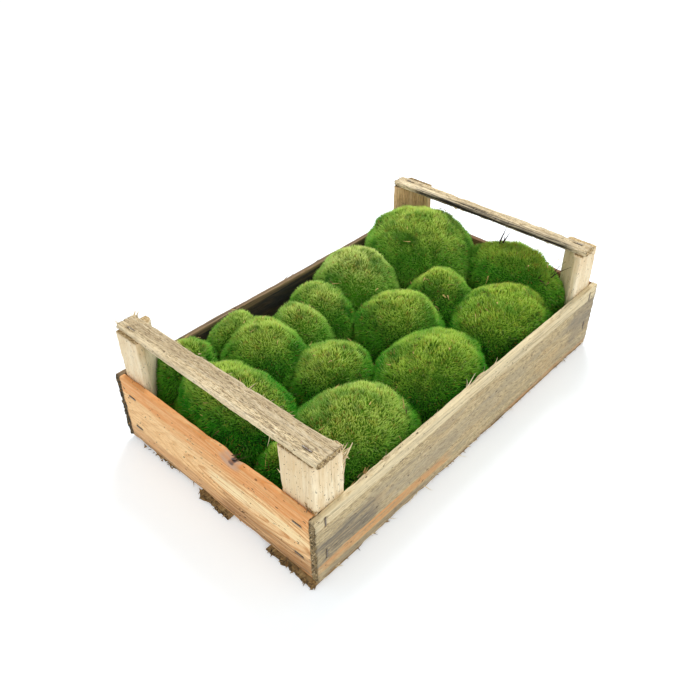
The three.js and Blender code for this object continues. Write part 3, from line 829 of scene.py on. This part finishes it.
# each group: how many, the box their roots lie in, direction, spread, lengths, width
splinters = {
    "rail": [
        (30, (-144, -237, 150), (-142, -216, 154.5), (-1, 0, 0.15), 0.4, (3, 11), 1.3),
        (5, (-144, -222, 153), (-138, -214, 154.5), (-0.4, 0.7, 0.5), 0.3, (5, 11), 1.6),
        (30, (144, -240, 150), (146, -212, 154.5), (1, 0, 0), 0.4, (2, 5), 1.2),
        (14, (70, -240, 150), (146, -238.5, 151), (0.9, -0.4, 0.1), 0.3, (4, 10), 0.9),
        (90, (-142, -236, 154.7), (142, -214, 155), (1, 0, 0.1), 0.12, (4, 13), 0.9),
        (40, (-142, -236, 154.7), (142, -214, 155), (-1, 0.1, 0.25), 0.2, (3, 8), 0.8),
        (40, (-140, -239, 154.4), (140, -237, 154.8), (1, -0.25, 0.15), 0.22, (4, 9), 0.8),
        (26, (-130, -216, 154.2), (140, -212, 154.8), (1, 0.3, 0.2), 0.25, (4, 9), 0.8),
        (16, (-144, 208, 150), (-142, 226, 154.5), (-1, 0, 0.1), 0.4, (3, 8), 1.2),
        (16, (143, 208, 150), (144.5, 227, 154.5), (1, 0, 0.1), 0.4, (3, 8), 1.2),
        (50, (-140, 209, 154.7), (140, 226, 155), (1, 0, 0.1), 0.14, (4, 11), 0.9),
        (36, (-140, 207, 149.5), (140, 208.5, 151), (1, -0.3, -0.2), 0.25, (4, 9), 0.9)],
    "post": [
        (8, (140, -207, 100), (142.6, -205, 134), (0.1, 0.3, 1), 0.14, (10, 20), 3.4),
        (12, (140, -207, 104), (142.6, -205, 146), (0.2, 0.5, 0.9), 0.25, (4, 8), 1.6),
        (14, (100, -241.6, 98), (142, -241, 147), (0, -0.25, 1), 0.2, (3, 7), 0.9),
        (8, (-142, -206, 112), (-138, -204, 146), (-0.3, 0.5, 0.8), 0.25, (5, 12), 1.4),
        (14, (-143, -240, 90), (-141, -206, 146), (-0.3, -0.2, 0.9), 0.25, (3, 8), 1.0),
        (6, (106, 205, 104), (142, 207, 140), (0.2, -0.5, 0.8), 0.3, (4, 9), 1.2)],
    "board": [
        (70, (144, -248, 6.6), (150, 248, 8.5), (0.25, 1, -0.2), 0.25, (4, 12), 1.2),
        (50, (144, -248, 6.6), (150, 248, 8.5), (0.3, -1, -0.1), 0.25, (4, 10), 1.2),
        (50, (143.5, -247, 92.4), (149.5, 247, 93.2), (0.1, 1, 0.1), 0.1, (6, 18), 0.9),
        (3, (143.4, -24, 92.5), (145, 4, 93), (-0.35, 1, 0.35), 0.1, (15, 22), 2.0),
        (26, (143, 248, 14), (150, 249.5, 90), (0, 1, 0), 0.4, (2, 6), 1.0),
        (30, (143.2, -249.8, 9), (149.8, -249, 88), (0, -1, 0), 0.4, (1.5, 3.5), 0.9)],
    "oldBoard": [
        (34, (-149.8, -249.8, 9), (-143.2, -249, 91), (-0.3, -1, 0), 0.4, (1.5, 5), 1.1),
        (60, (-142, -249.8, 6.6), (142, -243, 8), (1, -0.3, -0.3), 0.3, (3, 9), 1.1),
        (70, (144, -200, 6.4), (150, 190, 9), (0.5, 1, -0.1), 0.35, (3, 8), 1.4),
        (40, (-149.8, -246, 92.4), (-143.4, 246, 93.4), (0, 1, 0.12), 0.12, (5, 14), 0.9)],
    "slat": [
        (110, (-21, -253.2, 0.9), (26, -249, 5.6), (0.7, -0.5, 0.1), 0.5, (2, 6), 2.6),
        (150, (85, -253.2, 0.9), (147, -249, 5.6), (0.7, -0.5, 0.1), 0.5, (2, 6.5), 2.6),
        (30, (-125, -250.5, 1.5), (-70, -247, 5.6), (-0.6, -0.6, 0), 0.5, (2, 4.5), 1.9),
        (60, (-21, 248, 0.9), (26, 252, 5.6), (0.6, 0.6, 0), 0.5, (2, 6), 2.4),
        (70, (85, 248, 0.9), (147, 252, 5.6), (0.6, 0.6, 0), 0.5, (2, 6), 2.4),
        (60, (-149, 248, 0.9), (-67, 252, 5.6), (0.6, 0.6, 0), 0.5, (2, 5), 2.2),
        (60, (146, -246, 0.9), (148, 246, 5.6), (1, 0.6, 0), 0.4, (2, 5), 1.6)],
}
paleSplinter = crateLook(
    "pale_splinter", 8, pale=(236, 218, 178), dark=(208, 182, 138),
    fibre=(150, 124, 88), light=(250, 238, 208), dashStrength=0.5, greyStrength=0.4)
darkSplinter = crateLook(
    "brown_splinter", 9, pale=(166, 134, 84), dark=(120, 94, 56),
    fibre=(84, 62, 42), light=(200, 164, 120), dashStrength=0.6, greyStrength=0.4)
slivers("rail_splinters", splinters["rail"], paleSplinter, 61)
slivers("post_splinters", splinters["post"], paleSplinter, 62)
slivers("board_splinters", splinters["board"], paleSplinter, 63)
slivers("old_board_splinters", splinters["oldBoard"], darkSplinter, 64)
slivers("slat_bark_fringe", splinters["slat"], slatLook, 65)

# dry bits that lie on the moss and in the corners
litter = {
    "perCushion": 8, "length": (4, 12), "width": 1.1, "straw": (206, 176, 112),
    "twig": (74, 50, 34),
    "stems": [
        (3, (30, 206, 119), (31, 207, 120), (0.12, 0.05, 1), 0.05, (29, 30), 2.4),
        (2, (32, 206, 122), (33, 207, 123), (0.5, 0.1, 0.8), 0.05, (20, 21), 2.0),
        (4, (100, 202, 106), (112, 207, 110), (0.35, 0.1, 0.9), 0.22, (22, 32), 1.4),
        (2, (96, 188, 105), (104, 194, 108), (0.9, -0.1, 0.5), 0.2, (16, 22), 1.5),
        (4, (-10, 178, 112), (-7, 185, 116), (0.8, 0.2, 0.7), 0.2, (9, 15), 1.5),
        (5, (20, -248, 88), (50, -244, 92), (0.6, 0.7, 0.1), 0.3, (6, 12), 1.2)],
    "chips": [
        (16, (102, -238, 91), (140, -226, 94), (0.6, 0.3, 0.4), 0.4, (4, 10), 2.4),
        (16, (130, -243, 92), (142.5, -239, 95), (0.2, -0.2, 0.9), 0.6, (3, 8), 2.0),
        (10, (141.5, -200, 88), (143.5, -150, 93), (0, 1, 0.3), 0.4, (4, 9), 1.8),
        (8, (60, 241, 90), (140, 243, 94), (1, 0, 0.2), 0.3, (5, 11), 1.8)],
}


def litterLook(name):
    sh = Shader(name)
    tone = sh.attribute("tone")
    u, v, w = sh.split(sh.attribute("grain", "Vector"))
    fibre = sh.noise(sh.vector(u * 0.5, v * 2.0, w), detail=3.0)
    colour = sh.mix(litter["straw"], litter["twig"], (tone + (fibre - 0.5) * 0.5).fade(0.5, 0.62))
    sh.set(Base_Color=colour, Roughness=0.75 + fibre * 0.2, Specular_IOR_Level=0.2)
    sh.bump(fibre, 0.0004)
    return sh.material


def litterOnMoss():
    groups = []
    random = np.random.default_rng(71)
    for number, cushion in enumerate(moss["cushions"]):
        for k in range(litter["perCushion"]):
            turn, rise = random.random() * 2 * math.pi, 0.5 + random.random() * 0.9
            spot, out = domePoint(cushion, np.array([turn]), np.array([rise]))
            spot = spot + out * (cushionRelief(spot, 100 + 10 * number)[:, None] + 2.6)
            flat = np.cross(out[0], random.normal(0, 1, 3))
            aim = flat / np.linalg.norm(flat) + out[0] * 0.25
            inside = abs(spot[0, 0]) < 138 and abs(spot[0, 1]) < 236
            if inside:
                groups.append((1, spot[0], spot[0], aim, 0.1, litter["length"], litter["width"]))
    return groups


dryLook = litterLook("dry_straw_and_twigs")
twigLook = crateLook(
    "dark_twig", 11, pale=(78, 56, 42), dark=(52, 38, 30), fibre=(34, 26, 22),
    light=(104, 78, 56), stain=(60, 44, 34), grey=(66, 58, 50))
slivers("moss_litter", litterOnMoss(), dryLook, 72)
slivers("dark_stems", litter["stems"], twigLook, 73)
slivers("bark_chips", litter["chips"], darkSplinter, 74)

# a dark bed under the cushions, painted shade that makes the gaps between them dark, with a crumb
# texture
bed = {"halfX": 141, "halfY": 240, "corner": 50, "top": 16, "bumps": 6, "across": 34, "along": 56,
       "foot": 6.6, "crumb": (58, 44, 30), "leaf": (50, 74, 22), "dry": (134, 108, 68)}


# the colour of the painted shade bed: dark crumb browns and greens with dry flecks
def crumbShadeLook():
    sh = Shader("dark_crumb_shade")
    place = sh.node("TexCoord", {}, {}).out("Object")
    coarse = sh.noise(place, 130.0, 3.0, 0.6)
    fine = sh.noise(place, 520.0, 3.0, 0.7)
    colour = sh.mix(bed["crumb"], bed["leaf"], coarse.fade(0.48, 0.6))
    colour = sh.mix(colour, bed["dry"], fine.fade(0.6, 0.68) * 0.8)
    sh.set(Base_Color=colour, Roughness=0.85 + (fine - 0.5) * 0.2, Specular_IOR_Level=0.2)
    sh.bump(fine, 0.002)
    return sh.material


def crumbShadeBed():
    columns, rows = bed["across"], bed["along"]
    halfX, halfY = bed["halfX"], bed["halfY"]
    x, y = np.meshgrid(np.linspace(-1, 1, columns) * halfX, np.linspace(-1, 1, rows) * halfY)
    over = np.maximum(abs(x) + abs(y) - (halfX + halfY - bed["corner"]), 0) / 2
    x, y = x - np.sign(x) * over, y - np.sign(y) * over  # clear of the corner posts
    flat = np.stack([x, y, x * 0], -1)
    rise = bed["bumps"] * (softNoise(flat, (26, 26, 1), 81) + 0.5 * softNoise(flat, (9, 9, 1), 82))
    top = flat + np.stack([x * 0, x * 0, bed["top"] + rise], -1)
    under = flat + [0, 0, bed["foot"]]
    idx = np.arange(rows * columns).reshape(rows, columns)
    quads = np.stack([idx[:-1, :-1], idx[:-1, 1:], idx[1:, 1:], idx[1:, :-1]], -1).reshape(-1, 4)
    rim = np.concatenate([idx[0], idx[1:, -1], idx[-1, -2::-1], idx[-2:0:-1, 0]])
    after, size = np.roll(rim, -1), rows * columns
    walls = np.stack([rim, rim + size, after + size, after], -1)
    points = np.concatenate([top.reshape(-1, 3), under.reshape(-1, 3)])
    makePiece("crumb_shade_bed", points, [quads, quads[:, ::-1] + size, walls], crumbShadeLook(), None)


crumbShadeBed()

print("splinters and litter built")


# the staples keep their shape and get worn wire
def stapleLook():
    sh = Shader("worn_staple_wire")
    place = sh.node("TexCoord", {}, {}).out("Object")
    rust = sh.noise(place, 900.0, 3.0, 0.6)
    colour = sh.mix((138, 134, 126), (96, 62, 38), rust.fade(0.45, 0.65))
    sh.set(Base_Color=colour, Metallic=0.9 - rust.fade(0.45, 0.65) * 0.6,
           Roughness=0.38 + rust * 0.4)
    return sh.material


wire = stapleLook()
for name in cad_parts:
    if name.startswith("staple_"):
        node = bpy.data.objects[name]
        for slotOf in node.material_slots:
            slotOf.material = wire
        if not node.material_slots:
            node.data.materials.append(wire)

# floor, light and camera
studio = {"floor": 6.0, "paper": (0.85, 0.9, 0.935, 1), "paperGlow": 0.25, "world": 0.78,
          "softBoxes": {"key_softbox": ((-0.7, 1.0, 1.7), 0.9, 26),  # place, size, watts
                        "fill_softbox": ((1.6, -1.0, 1.2), 1.2, 9.36)},
          "lens": 38.54, "camera": (455.4, -531.4, 606.6),
          "azimuth": 42.884, "elevation": 38.118, "roll": -0.68}

floorMesh = bpy.data.meshes.new("studio_floor")
half = studio["floor"] / 2
floorMesh.from_pydata([(-half, -half, 0), (half, -half, 0), (half, half, 0), (-half, half, 0)], [],
                      [(0, 1, 2, 3)])
floor = bpy.data.objects.new("studio_floor", floorMesh)
bpy.context.scene.collection.objects.link(floor)
paper = Shader("white_paper")
paper.set(Base_Color=studio["paper"], Roughness=0.9, Specular_IOR_Level=0.1,
          Emission_Color=(1, 1, 1, 1), Emission_Strength=studio["paperGlow"])
floorMesh.materials.append(paper.material)

world = bpy.data.worlds.new("studio_world")
world.use_nodes = True
background = world.node_tree.nodes["Background"]
background.inputs["Color"].default_value = (1, 1, 1, 1)
background.inputs["Strength"].default_value = studio["world"]
bpy.context.scene.world = world
bpy.context.scene.view_settings.view_transform = "Standard"


def softBox(name, place, target, size, watts):
    data = bpy.data.lights.new(name, "AREA")
    data.shape = "DISK"
    data.size = size
    data.energy = watts
    lamp = bpy.data.objects.new(name, data)
    lamp.location = place
    lamp.rotation_mode = "QUATERNION"
    lamp.rotation_quaternion = (Vector(target) - Vector(place)).to_track_quat("-Z", "Y")
    bpy.context.scene.collection.objects.link(lamp)


for name, (place, size, watts) in studio["softBoxes"].items():
    softBox(name, place, (0, 0, 0.05), size, watts)

cameraData = bpy.data.cameras.new("camera")
cameraData.sensor_width = 36
cameraData.lens = studio["lens"]
cameraData.clip_start = 0.01
camera = bpy.data.objects.new("camera", cameraData)
az, el, roll = (math.radians(studio[k]) for k in ("azimuth", "elevation", "roll"))
turned = Euler((math.pi / 2 - el, 0, az)).to_matrix() @ Matrix.Rotation(roll, 3, "Z")
camera.matrix_world = Matrix.Translation(Vector(studio["camera"]) * mm) @ turned.to_4x4()
bpy.context.scene.collection.objects.link(camera)
bpy.context.scene.camera = camera

print("scene ready")
